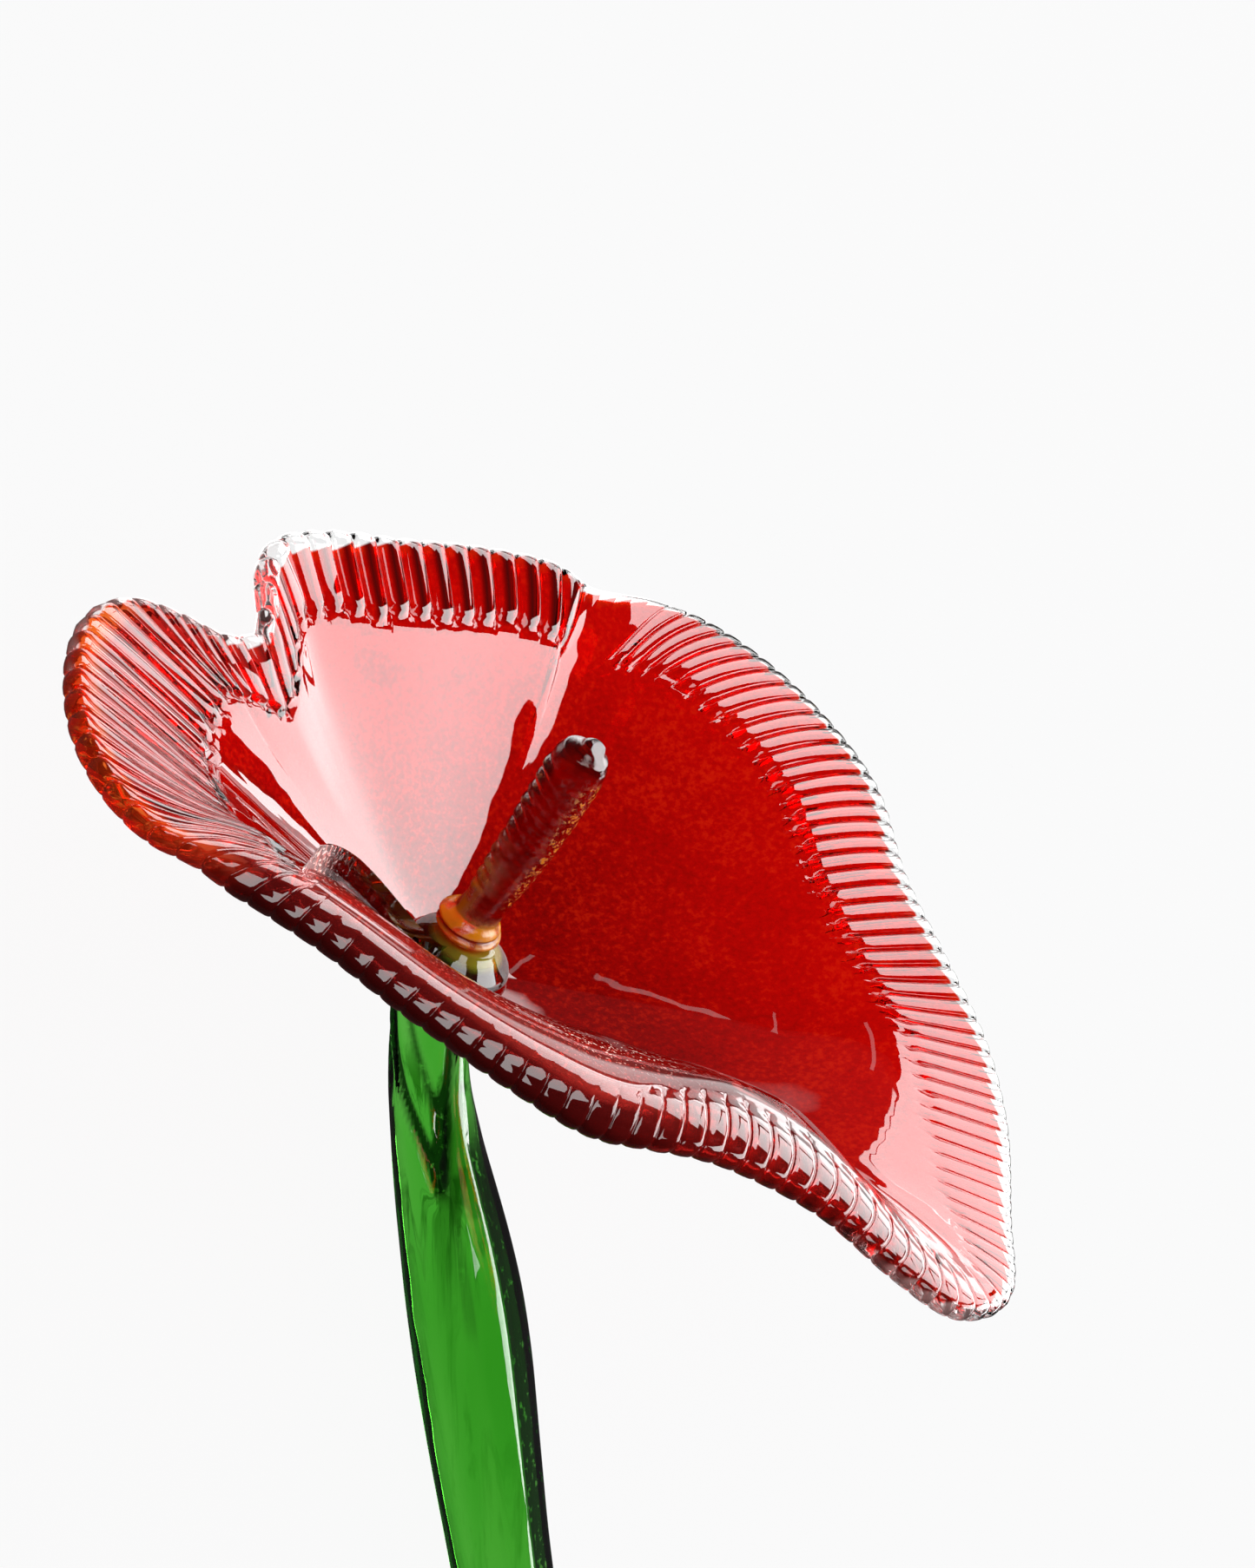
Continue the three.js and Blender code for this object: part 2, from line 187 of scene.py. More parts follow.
# The flats drawn into the stem: the way each faces, in degrees from there, and its distance from
# the stem's middle, as a share of the radius.
STEM_FLATS = ((-14, 0.96), (72, 0.88), (140, 0.96), (200, 1.0), (262, 1.0))
FLAT_SHARPNESS = 24.0
# The shaded side begins and ends between these angles round the stem.
DARK_SIDE, DARK_SIDE_END = (36, 46), (150, 170)
# Folds at the neck: the angle each starts and ends at, where along the stem, and their depth.
STEM_FOLDS = ((-62, -8, 7, 26, 0.8), (44, -4, 8, 27, 0.75), (-30, 6, 4, 19, 0.45),
              (14, 2, 16, 44, 0.3), (-100, -70, 5, 16, 0.7))
FOLD_WIDTH = 10.0
STEM_SIDES = 96
STEM_STEP = 0.7
CUT_ROUNDING = 2.1

# The button on top of the stem: height above the seat, and radius.
BUTTON = (
    (0.3, 5.2), (0.6, 5.6), (1.0, 5.7), (1.45, 5.45), (1.85, 4.95), (2.6, 4.0), (3.3, 3.0),
    (3.4, 1.5), (3.42, 0.02),
)

# The button's dark rim is painted shade.
DARK_BUTTON = (3.6, 4.5)  # its dark rim begins between these radii

# ---- The spadix ----

# Height above the seat, radius, and how far its middle is off the dish's axis.
SPADIX = (
    (6.3, 2.5, -0.9), (8, 2.35, -0.75), (12, 2.6, -0.5), (17, 2.9, -0.4), (22, 3.0, -0.4),
    (27, 3.1, -0.5), (29, 3.0, -0.6), (30.1, 2.5, -0.6), (30.6, 1.7, -0.4), (30.9, 1.35, -0.3),
    (31.4, 1.2, -0.2), (31.8, 0.7, -0.2), (31.9, 0.02, -0.2),
)
FOOT = ((3.43, 0.02, -1.0), (3.45, 2.5, -1.0), (3.7, 3.4, -1.0), (4.3, 3.8, -1.0),
        (5.1, 3.6, -1.0), (5.7, 3.1, -0.95), (6.05, 2.7, -0.9))
COIL = (3.9, 1.5, 0.5)  # the groove round the foot: its lowest height, its rise and its depth
COIL_SEAM = 100.0  # the angle at which the coil closes
FACET = (0.64, -0.15, 0.754)  # the flat at the spadix's end: the way it faces
FACET_MIDDLE = (-0.5, 0.0, 28.9)
FACET_AWAY = 2.4
SCALE_SIDE = (-140.0, 26.0)  # the row of pressed scales: its angle and its half width
GRIT_SIDE = (-8.0, 36.0)  # the gritty, golden side
GOLD_SIDE = (-125.0, 34.0)  # where the foot's amber runs up the rod
SPADIX_SIDES = 96
SPADIX_STEP = 0.13

# ---- The stage ----

# Where the camera is from the seat, along its own axes, and how it is turned.
CAMERA_PLACE = (17.95, 18.36, 520.0)
CAMERA_TURN = (4.0, -30.0)
IMAGE_HEIGHT = 1806  # pixels of the whole frame, and the lens's focal length in the same unit
FOCAL_PIXELS = 5720
SENSOR = 36.0
LIGHT_DISTANCE = 0.9  # metres
# Pools of painted light on the surface, which only reflections see: x, y and radius in metres,
# how far the brightness fades out past the radius, and how strong it is, as a share of a setting.
POOLS = (
    (0.004, 0.160, 0.033, 1.25, 1.5, "near_painted_shine"),  # before the lobe
    (0.155, 0.188, 0.078, 1.2, 1.0, "near_painted_shine"),  # past the right rim
    (0.137, 0.140, 0.030, 1.2, 0.6, "pool_painted_shine"),  # past the tip
    (0.75, 0.16, 0.51, 1.05, 1.0, "pool_painted_shine"),  # below the key light
    (0.53, 0.70, 0.29, 1.05, 0.7, "pool_painted_shine"),  # below the fill light
)
# The softboxes: azimuth and elevation, the angles that each spans, and its roll, in degrees, and
# the setting that it takes its glow from.
LIGHTS = {
    "key": (3, 26.5, 28, 53, 3, "key_glow"),
    "side": (31, 11, 12, 20, 0, "fill_glow"),
    "fill": (55, 14, 34, 29, 0, "fill_glow"),
    "top": (100, 73, 36, 20, 0, "top_glow"),
}
LOW_STRIP = ((34, 300, 62), (74, 300, 22), 3.2)  # its two ends and its width
FLOOR_HALF = 4.0  # metres


# ---- Helpers ----

def smooth(x, low, high):
    t = np.clip((np.asarray(x, float) - low) / (high - low), 0.0, 1.0)
    return t * t * (3 - 2 * t)


def mix(a, b, t):
    return a + (b - a) * t


def unit(v):
    return v / np.maximum(np.linalg.norm(v, axis=-1, keepdims=True), 1e-12)


def turn_matrix(degrees):
    """Turns about X, then Y, then Z, each in the frame that the one before it left."""
    m = Matrix.Identity(3)
    for angle, axis in zip(degrees, "XYZ"):
        m = m @ Matrix.Rotation(math.radians(angle), 3, axis)
    return np.array(m)


BLOOM_AXES = turn_matrix(BLOOM_TURN)


def from_bloom(points):
    """From the dish's own frame to the flower's, in millimetres."""
    return points @ BLOOM_AXES.T + np.array(SEAT)


def lengths(line):
    """How far along a line each of its points is."""
    return np.concatenate([[0], np.cumsum(np.linalg.norm(np.diff(line, axis=0), axis=1))])


def cubic(a, b, start, end, w):
    """From a to b at w, leaving and arriving in the directions start and end."""
    return (a + start * w + (-3 * a + 3 * b - 2 * start - end) * w ** 2
            + (2 * a - 2 * b + start + end) * w ** 3)


def bend(before, a, b, after, w):
    """From a to b at w, on a smooth line through all four points."""
    gap = [np.maximum(((q - p) ** 2).sum(-1, keepdims=True), 1e-12) ** 0.25
           for p, q in ((before, a), (a, b), (b, after))]
    start = (a - before) / gap[0] - (b - before) / (gap[0] + gap[1]) + (b - a) / gap[1]
    end = (b - a) / gap[1] - (after - a) / (gap[1] + gap[2]) + (after - b) / gap[2]
    return cubic(a, b, start * gap[1], end * gap[1], w)


def closed_curve(points, t, centripetal=True):
    """A smooth closed line through points, at t from 0 to 1."""
    count = len(points)
    place = count * (t % 1.0)
    k = np.floor(place).astype(int)
    w = (place - k)[:, None]
    before, a, b, after = (points[(k + i) % count] for i in (-1, 0, 1, 2))
    if centripetal:
        return bend(before, a, b, after, w)
    return cubic(a, b, 0.5 * (b - before), 0.5 * (after - a), w)


def spline(points, count):
    """An open smooth line through points, as count points spaced evenly."""
    points = np.asarray(points, float)
    ends = [2 * points[0] - points[1], *points, 2 * points[-1] - points[-2]]
    w = np.linspace(0, 1, 33)[1:, None]
    bends = (bend(*four, w) for four in zip(ends, ends[1:], ends[2:], ends[3:]))
    line = np.concatenate([points[:1], *bends])
    run = lengths(line)
    at = np.linspace(0, run[-1], count)
    return np.stack([np.interp(at, run, line[:, i]) for i in range(3)], -1), at


def tube_faces(rows, columns, closed_rows=False):
    """Quads between rings of points, with the two end rings filled in, or joined together."""
    k = np.arange(columns)
    after = (k + 1) % columns
    faces = []
    for i in range(rows if closed_rows else rows - 1):
        low, high = i * columns, ((i + 1) % rows) * columns
        faces += np.stack([low + k, low + after, high + after, high + k], -1).tolist()
    if not closed_rows:
        faces += [k[::-1].tolist(), ((rows - 1) * columns + k).tolist()]
    return faces


def make_piece(name, node, points, faces, material, marks, uv=None):
    """A smooth-shaded mesh that rides on the flower's one body and stands for its solid. Points
    are in millimetres, in the flower's frame, and marks are values that the material reads at
    each of them."""
    mesh = bpy.data.meshes.new(name)
    mesh.from_pydata((points.reshape(-1, 3) * MM).tolist(), [], faces)
    if uv is not None:
        layer = mesh.uv_layers.new(name="rim")
        layer.data.foreach_set("uv", np.asarray(uv, np.float32).ravel())
    for key, values in marks.items():
        mesh.attributes.new(key, "FLOAT", "POINT").data.foreach_set(
            "value", np.asarray(values, np.float32).ravel())
    mesh.shade_smooth()
    mesh.materials.append(material)
    obj = bpy.data.objects.new(name, mesh)
    bpy.context.scene.collection.objects.link(obj)
    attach(obj, BODY)
    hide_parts(node)


# ---- Node helpers ----

def new_material(name):
    material = bpy.data.materials.new(name)
    material.use_nodes = True
    material.node_tree.nodes.clear()
    return material, material.node_tree


def add(tree, kind, values=None, **settings):
    """A node of a kind, with settings and with values or links on its inputs."""
    node = tree.nodes.new("ShaderNode" + kind)
    for key, value in settings.items():
        setattr(node, key, value)
    for key, value in (values or {}).items():
        socket = node.inputs[key]
        if isinstance(value, bpy.types.NodeSocket):
            tree.links.new(value, socket)
        else:
            socket.default_value = value
    return node


def math_node(tree, operation, *values, clamp=False):
    return add(tree, "Math", dict(enumerate(values)), operation=operation,
               use_clamp=clamp).outputs[0]


def product(tree, a, b):
    return math_node(tree, "MULTIPLY", a, b)


def blend_colour(tree, factor, low, high, kind="MIX"):
    node = add(tree, "Mix", data_type="RGBA", blend_type=kind)
    for socket, value in ((node.inputs[0], factor), (node.inputs[6], low), (node.inputs[7], high)):
        if isinstance(value, bpy.types.NodeSocket):
            tree.links.new(value, socket)
        else:
            socket.default_value = value if isinstance(value, float) else (*value[:3], 1.0)
    return node.outputs[2]


def layered(tree, colour, *layers):
    """A colour with others over it, each as much as its factor says."""
    for factor, over in layers:
        colour = blend_colour(tree, factor, colour, over)
    return colour


def ramp(tree, factor, low, high):
    """0 at low, 1 at high, and an even rise between them."""
    return add(tree, "MapRange", {0: factor, 1: low, 2: high}, clamp=True).outputs[0]


def noise(tree, vector, scale, detail=2.0, roughness=0.5):
    node = add(tree, "TexNoise", {"Vector": vector, "Scale": scale, "Detail": detail,
                                  "Roughness": roughness})
    return node.outputs[0]


def mark(tree, name):
    """The values of one of the marks of make_piece."""
    return add(tree, "Attribute", attribute_name=name).outputs["Fac"]


def finish_glass(tree, colour, roughness, clear, bump, shadow, absorption=None):
    """Glass whose shadow is a stained light, as it falls through real glass. bump is a strength,
    a distance and a height, and absorption is a colour and a density."""
    relief = add(tree, "Bump", dict(zip(("Strength", "Distance", "Height"), bump)))
    glass = add(tree, "BsdfPrincipled", {
        "Base Color": colour, "Roughness": roughness, "IOR": 1.5, "Transmission Weight": clear,
        "Normal": relief.outputs[0],
    })
    through = add(tree, "BsdfTransparent", {"Color": (*shadow, 1.0)})
    path = add(tree, "LightPath")
    both = add(tree, "MixShader", {0: path.outputs["Is Shadow Ray"], 1: glass.outputs[0],
                                   2: through.outputs[0]})
    out = add(tree, "OutputMaterial", {"Surface": both.outputs[0]})
    if absorption is not None:
        keeps, density = absorption
        volume = add(tree, "VolumeAbsorption", {"Color": (*keeps, 1.0), "Density": density})
        tree.links.new(volume.outputs[0], out.inputs["Volume"])


# ---- Settings ----

def colour_property(name, description, default):
    return FloatVectorProperty(name=name, description=description, default=default, size=3,
                               min=0.0, max=1.0, subtype="COLOR")


def length_property(name, description, default):
    return FloatProperty(name=name, description=description, default=default * MM,
                         min=0.1 * MM, unit="LENGTH", subtype="DISTANCE")


def amount_property(name, description, default):
    return FloatProperty(name=name, description=description, default=default, min=0.0)


class HeartSettings(PropertyGroup):
    wall: length_property("Bowl wall", "Thickness of the glass in the bowl", 3.2)
    rim_wall: length_property("Rim wall", "Thickness of the glass at the edge", 2.2)
    ribs: IntProperty(
        name="Ribs", description="How many crimped ribs run round the rim", default=126, min=20)
    rib_depth: length_property("Rib depth", "How deep the valleys between the ribs are", 0.8)
    ruby: colour_property("Ruby", "What light keeps of its colour through the ruby",
                          (0.64, 0.0012, 0.0004))
    ember: colour_property("Ember", "The ruby where it is thin", (0.86, 0.04, 0.004))
    garnet: colour_property("Garnet", "The ruby where it is thick", (0.19, 0.0004, 0.0002))
    drawn_rose_and_sheen: colour_property("Rose", "The ruby where it is drawn out", (0.60, 0.13, 0.11))


class StemSettings(PropertyGroup):
    green: colour_property("Green", "The colour that the green glass lets through",
                           (0.24, 0.74, 0.03))
    density: amount_property("Density", "How strongly the green glass absorbs, per metre", 330.0)
    folds: amount_property("Folds", "How deep the folds at the neck are, as a share of full depth",
                           1.0)


class SpadixSettings(PropertyGroup):
    amber: colour_property("Amber", "The colour that the amber glass lets through",
                           (0.94, 0.42, 0.06))
    density: amount_property("Density", "How strongly the amber glass absorbs, per metre", 1250.0)
    scale_height: length_property("Scale height", "How far the pressed scales stand out", 0.38)


class StageSettings(PropertyGroup):
    floor_colour: colour_property("Floor colour", "The pale surface", (0.012, 0.012, 0.013))
    floor_glow: amount_property("Floor glow", "Light that the pale surface gives of its own", 0.94)
    # The shine settings are painted light: glow that only reflections see.
    near_painted_shine: amount_property(
        "Near shine", "Brightness of the lit parts near by, in reflections", 2.3)
    far_painted_shine: amount_property(
        "Far shine", "Brightness of the surface far off, in reflections", 0.05)
    pool_painted_shine: amount_property(
        "Pool shine", "Brightness of the surface below the large lights, in reflections", 10.0)
    key_glow: amount_property("Key glow", "Brightness of the large light at the right", 9.8)
    fill_glow: amount_property("Fill glow", "Brightness of the large light at the back", 8.0)
    top_glow: amount_property("Top glow", "Brightness of the light above", 6.0)
    strip_glow: amount_property("Strip glow", "Brightness of the low, narrow light at the back",
                                1.6)
    sky: amount_property("Sky", "Brightness of the dark studio in reflections", 0.02)


# ---- The ruby heart ----

class Heart:
    """The dish's surface: lines from the hole to the rim, with the crimped ribs across them."""

    def __init__(self, ribs, rib_depth, wall, rim_wall):
        self.ribs, self.depth, self.wall, self.rim_wall = ribs, rib_depth, wall, rim_wall
        rows = np.array(RIM, float)
        t = np.linspace(0, 1, LINES + 1)
        run = lengths(closed_curve(self.edge_points(rows), t))
        self.around = run[-1]
        t = np.interp(np.arange(LINES) / LINES * self.around, run, t)
        edge, slope, reach, band = self.rim_lines(rows, t)
        even = rows.copy()
        for row in even:
            row[1:5] = WALL.get(int(row[0]), row[1:5])
        self.controls = self.handles(edge, slope, reach)
        self.wall_controls = self.handles(*self.rim_lines(even, t)[:3])
        angle = np.degrees(np.arctan2(edge[:, 1], edge[:, 0]))
        ribbed = 1 - smooth(angle, *PLAIN_START) * (1 - smooth(angle, *PLAIN_END))
        depth, drawn, painted_shade, beads, crowd = (np.interp(angle, *zip(*table)) for table in (
            RIB_DEPTHS, DRAWN, RIB_PAINTED_SHADES, BEADS, RIB_CROWDING))
        depth = ribbed * self.softened(depth[:, None], DEPTH_BLUR)[:, 0]
        self.band = np.stack([*band, ribbed, depth, drawn, painted_shade, beads], -1)
        crowd = np.concatenate([[0], np.cumsum(crowd)])
        self.rib_places = crowd / crowd[-1]

    @staticmethod
    def edge_points(rows):
        angle, radius, height = np.radians(rows[:, 0]), rows[:, 1], rows[:, 2]
        return np.stack([radius * np.cos(angle), radius * np.sin(angle), height], -1)

    def rim_lines(self, rows, t):
        """The edge, and the other columns of the rim's table, at t from 0 to 1 round it."""
        slope, reach, *band = closed_curve(rows[:, 3:], t, centripetal=False).T
        return closed_curve(self.edge_points(rows), t), slope, reach, band

    def handles(self, edge, slope, reach):
        """Four control points of each line from the hole to the edge."""
        angle = np.degrees(np.arctan2(edge[:, 1], edge[:, 0]))
        turn = -np.radians(BAND_LEAN * smooth(angle, *LEAN_START)
                           * (1 - smooth(angle, *LEAN_END)))[:, None]
        travel = np.roll(edge, -1, 0) - np.roll(edge, 1, 0)
        inward = np.stack([travel[:, 1], -travel[:, 0], 0 * angle], -1)
        inward = unit(self.softened(unit(inward), INWARD_BLUR))
        inward = (inward * np.cos(turn)
                  + np.stack([-inward[:, 1], inward[:, 0], 0 * angle], -1) * np.sin(turn))
        slope = np.radians(slope)[:, None]
        foot = edge + reach[:, None] * (inward * np.cos(slope) - [0, 0, 1] * np.sin(slope))
        foot = self.softened(foot, FOOT_BLUR)
        outward = unit(edge * [1, 1, 0])
        lift, way, spread = FLOOR_LIFT
        lift *= np.exp(-(((angle - way + 180) % 360 - 180) / spread) ** 2)
        floor = outward * FLOOR_REACH + np.stack([0 * lift, 0 * lift, FLOOR_RISE + lift], -1)
        return outward * HOLE_RADIUS, floor, foot, edge

    def softened(self, values, width):
        """A closed line of values, evened out over a width in millimetres."""
        away = np.minimum(np.arange(LINES), LINES - np.arange(LINES)) * self.around / LINES
        kernel = np.exp(-0.5 * (away / width) ** 2)
        wave = np.fft.rfft(kernel / kernel.sum())[:, None]
        return np.fft.irfft(np.fft.rfft(values, axis=0) * wave, LINES, axis=0)

    def at(self, values, u):
        """Values of the table of lines at u, between 0 and 1 round the rim."""
        place = (u % 1.0) * LINES
        k = np.floor(place).astype(int) % LINES
        w = (place - np.floor(place))[..., None]
        return values[k] * (1 - w) + values[(k + 1) % LINES] * w

    def surface(self, u, v):
        """Points of the smooth inner face at u and v, two grids of one shape."""
        v = v[..., None]
        w = 1 - v
        faces = []
        for controls in (self.wall_controls, self.controls):
            a, b, c, d = (self.at(control, u) for control in controls)
            faces.append(w ** 3 * a + 3 * w * w * v * b + 3 * w * v * v * c + v ** 3 * d)
        return mix(*faces, smooth(v, *WALL_BLEND))

    def walls(self, rows):
        """Inner and outer faces, the outward direction and the bulge at the edge, each point's
        distance from the edge, the ruby's margin, each line's place, counted in ribs, and marks
        for the painted shade of the ribs, drawn-out glass, orange beads and settled dust."""
        across = np.tile(ACROSS, self.ribs)[:, None]
        rib = np.repeat(np.arange(self.ribs), len(ACROSS))
        place = rib + (across[:, 0] + 1) / 2
        line = np.interp(place / self.ribs, self.rib_places, np.linspace(0, 1, LINES + 1))
        u, v = np.meshgrid(line, rows, indexing="ij")
        length, crease_at, crease, margin, lean, ribbed, deep, drawn, painted_shade, beads = self.at(
            self.band, u[:, :1]).T
        run = self.distance(self.surface(u, v))
        u = u + np.tan(np.radians(lean.T)) * np.minimum(run, length.T) / self.around
        face = self.surface(u, v)
        run = self.distance(face)
        around = np.roll(face, -1, 0) - np.roll(face, 1, 0)
        normal = unit(np.cross(around, np.gradient(face, axis=1)))
        normal *= np.sign(normal[..., 2].mean())

        # A rib is a rounded capsule: nearly flat on top, steep at its sides and round at its
        # inner end.
        rng = np.random.default_rng(7)
        length = np.maximum(length.T + rng.normal(0, 0.35, self.ribs)[rib][:, None], 1.0)
        pitch = self.around * (np.roll(line, -len(ACROSS)) - line)[::len(ACROSS)] % self.around
        half_pitch = 0.5 * pitch[rib][:, None]
        cap = np.clip(half_pitch - (length - run), 0, None) / half_pitch
        ridge = 1 - np.clip(np.sqrt(across ** 2 + cap ** 2), 0, 1) ** RIB_SQUARENESS
        along = np.clip(run / crease_at.T, 0, None)
        rise = crease.T * np.minimum(along, 1) * (1 - smooth(along, 1, 2.6))
        curl, width = EDGE_CURL
        rise -= curl * smooth(drawn.T, 0.6, 1) * np.clip(1 - run / width, 0, None) ** 2
        on_band = smooth(length - run, -0.6, 0.6)
        relief = deep.T * self.depth * (ridge - 0.7) * on_band
        # The rib mark is painted shade: it darkens the middle of each rib.
        lines = {"rib": ribbed.T * painted_shade.T * (1 - smooth(np.abs(across), 0.3, 0.65)) * on_band,
                 "drawn": drawn.T * (1 - smooth(run, *DRAWN_WIDTH)),
                 "bead": beads.T * (1 - smooth(run, *BEAD_WIDTH)),
                 "dust": smooth(drawn.T, 0.4, 0.9) * np.exp(-((run - DUST[0]) / DUST[1]) ** 2)}

        wall = mix(self.wall, self.rim_wall, smooth(rows, TAPER_START, 1))
        inner = face + normal * (rise + relief)[..., None]
        outer = face - normal * (wall + relief - rise)[..., None]
        outward = unit(face[:, -1] - face[:, -2])
        bulge = EDGE_BULGE + BEAD_DEPTH * ribbed[0] * (1 - 2 * np.abs(across[:, 0]) ** 3) * (
            0.4 + 0.6 * np.minimum(deep[0], 1))
        return inner, outer, outward, bulge, run, margin[0], place, lines

    @staticmethod
    def distance(face):
        steps = np.linalg.norm(np.diff(face, axis=1), axis=2)
        run = np.concatenate([np.zeros((len(face), 1)), np.cumsum(steps[:, ::-1], axis=1)], 1)
        return run[:, ::-1]


def heart_mesh(settings):
    heart = Heart(settings.ribs, settings.rib_depth / MM, settings.wall / MM,
                  settings.rim_wall / MM)
    rows = np.concatenate([
        np.linspace(0, BAND_START, BOWL_ROWS, endpoint=False),
        np.linspace(BAND_START, 1, BAND_ROWS),
    ])
    inner, outer, outward, bulge, run, margin, rib, lines = heart.walls(rows)
    middle = 0.5 * (inner[:, -1] + outer[:, -1])
    half = inner[:, -1] - middle
    edge = []
    for k in range(1, EDGE_ROWS + 1):
        a = math.pi * k / (EDGE_ROWS + 1)
        edge.append(middle + half * math.cos(a) + outward * bulge[:, None] * math.sin(a))
    edge = np.stack(edge, 1)
    points = np.concatenate([inner, edge, outer[:, ::-1]], 1)
    beyond = np.broadcast_to(-np.sin(np.linspace(0, math.pi, EDGE_ROWS + 2)[1:-1])[None],
                             edge.shape[:2])
    place = np.concatenate([run, beyond, run[:, ::-1]], 1) - margin[:, None]
    columns, count = points.shape[:2]
    flat = points.transpose(1, 0, 2).reshape(-1, 3)
    faces = tube_faces(count, columns, closed_rows=True)

    # Each corner knows the rib it is on and how far it is from the ruby's end, in millimetres.
    ahead = np.append(rib[1:], settings.ribs)
    uv = []
    for i in range(count):
        j = (i + 1) % count
        low, high = place[:, i], place[:, j]
        low_next, high_next = np.roll(low, -1), np.roll(high, -1)
        uv.append(np.stack([
            np.stack([rib, low], -1), np.stack([ahead, low_next], -1),
            np.stack([ahead, high_next], -1), np.stack([rib, high], -1),
        ], 1))
    uv = np.concatenate(uv)
    stain = np.ones(points.shape[:2])
    far = rows.size + EDGE_ROWS // 2
    stain[:, far:] = (smooth(-margin, 0.5, 1.3)[:, None]
                      * (1 - smooth(place + margin[:, None], 1.5, 4))[:, far:])
    marks = {"stain": stain}
    for name, values in lines.items():
        marks[name] = np.concatenate([values, np.repeat(values[:, -1:], EDGE_ROWS, 1),
                                      values[:, ::-1]], 1)
    return from_bloom(flat), faces, {name: values.T for name, values in marks.items()}, uv


RIB_PAINTED_SHADOW = (0.01, 0.003, 0.003)
PAINTED_EDGE_SHADE = (0.28, 0.05, 0.05)
BEAD_ORANGE = (0.93, 0.20, 0.03)
DUST_GREY = (0.90, 0.72, 0.62)


def ruby_material(settings):
    """Clear glass with a ruby layer under its inner face, which ends short of the rim."""
    material, tree = new_material("ruby_glass")
    place = add(tree, "TexCoord").outputs["Object"]
    rim = add(tree, "SeparateXYZ", {0: add(tree, "UVMap", uv_map="rim").outputs[0]})
    distance = rim.outputs[1]
    across = math_node(tree, "FRACT", rim.outputs[0])
    step = product(tree, math_node(tree, "SUBTRACT", across, 0.5), 0.7)
    border = math_node(tree, "ADD", distance, step)
    stained = ramp(tree, border, -0.12, 0.12)

    grain = noise(tree, place, 1400.0, 3.0, 0.65)
    cloud = noise(tree, place, 160.0, 3.0)
    patch = noise(tree, place, 55.0, 1.0)
    depth = math_node(tree, "ADD", product(tree, grain, 0.7), product(tree, cloud, 0.3))
    thin = ramp(tree, math_node(tree, "ADD", depth, product(tree, patch, 0.15)), 0.60, 0.85)
    thick = product(tree, ramp(tree, depth, 0.60, 0.30), 0.40)
    far_in = product(tree, ramp(tree, distance, 10.0, 40.0), 0.70)
    thick = math_node(tree, "ADD", thick, far_in, clamp=True)
    near_edge = product(tree, ramp(tree, border, 1.4, 0.0), 0.4)
    drawn = mark(tree, "drawn")
    # Painted shade: along the drawn-out glass the edge is painted dark red and made less clear.
    painted_dark_edge = product(tree, ramp(tree, distance, 4.6, 3.4), drawn)
    rib = mark(tree, "rib")
    colour = layered(
        tree, blend_colour(tree, thick, settings.ruby, settings.garnet),
        (product(tree, thin, 0.35), settings.ember),
        (near_edge, settings.ember),
        # Painted shade on the ribs: garnet in their middles, and near black where the shade passes
        # 1.
        (math_node(tree, "ADD", rib, 0.0, clamp=True), settings.garnet),
        (math_node(tree, "SUBTRACT", rib, 1.0, clamp=True), RIB_PAINTED_SHADOW),
        # The drawn-out glass is a paler rose, which is also a painted sheen for the rolled wall's
        # reflections.
        (drawn, settings.drawn_rose_and_sheen),
        (painted_dark_edge, PAINTED_EDGE_SHADE),
        (mark(tree, "bead"), BEAD_ORANGE))
    colour = blend_colour(tree, stained, (0.97, 0.98, 0.98), colour)
    # The layer lies under the inner face, so that face takes the whole of its colour. Along the
    # near rim the ruby is rolled over, and both faces take it.
    double = blend_colour(tree, 1.0, colour, colour, "MULTIPLY")
    colour = blend_colour(tree, mark(tree, "stain"), (0.97, 0.97, 0.97), double)
    # Specks of dust lie on the glass.
    specks = ramp(tree, noise(tree, place, 2300.0, 1.0), 0.635, 0.67)
    dust = product(tree, specks, mark(tree, "dust"))
    colour = blend_colour(tree, dust, colour, DUST_GREY)
    clear = math_node(tree, "SUBTRACT", 1.0, product(tree, drawn, 0.15))
    clear = math_node(tree, "SUBTRACT", clear, product(tree, painted_dark_edge, 0.65))
    clear = math_node(tree, "SUBTRACT", clear, dust, clamp=True)
    swell = noise(tree, place, 90.0, 2.0)
    finish_glass(tree, colour, 0.015, clear, (0.12, 0.0006, swell), (0.85, 0.35, 0.32))
    return material


class FLOWER_OT_heart(Operator):
    """Make the ruby heart with its crimped, clear rim"""

    bl_idname = "flower.heart"
    bl_label = "Ruby heart"

    def execute(self, context):
        settings = context.scene.flower_heart
        points, faces, marks, uv = heart_mesh(settings)
        make_piece("heart", "spathe", points, faces, ruby_material(settings),
                   marks, uv)
        return {"FINISHED"}


# ---- The stem ----

def moving_axes(line):
    """Two directions square to the line at each of its points, turning as little as they can."""
    tangent = unit(np.gradient(line, axis=0))
    side = np.zeros_like(line)
    side[0] = unit(np.cross(tangent[0], [1.0, 0.0, 0.0]))
    for i in range(1, len(line)):
        side[i] = unit(side[i - 1] - tangent[i] * np.dot(side[i - 1], tangent[i]))
    return tangent, side, np.cross(tangent, side)


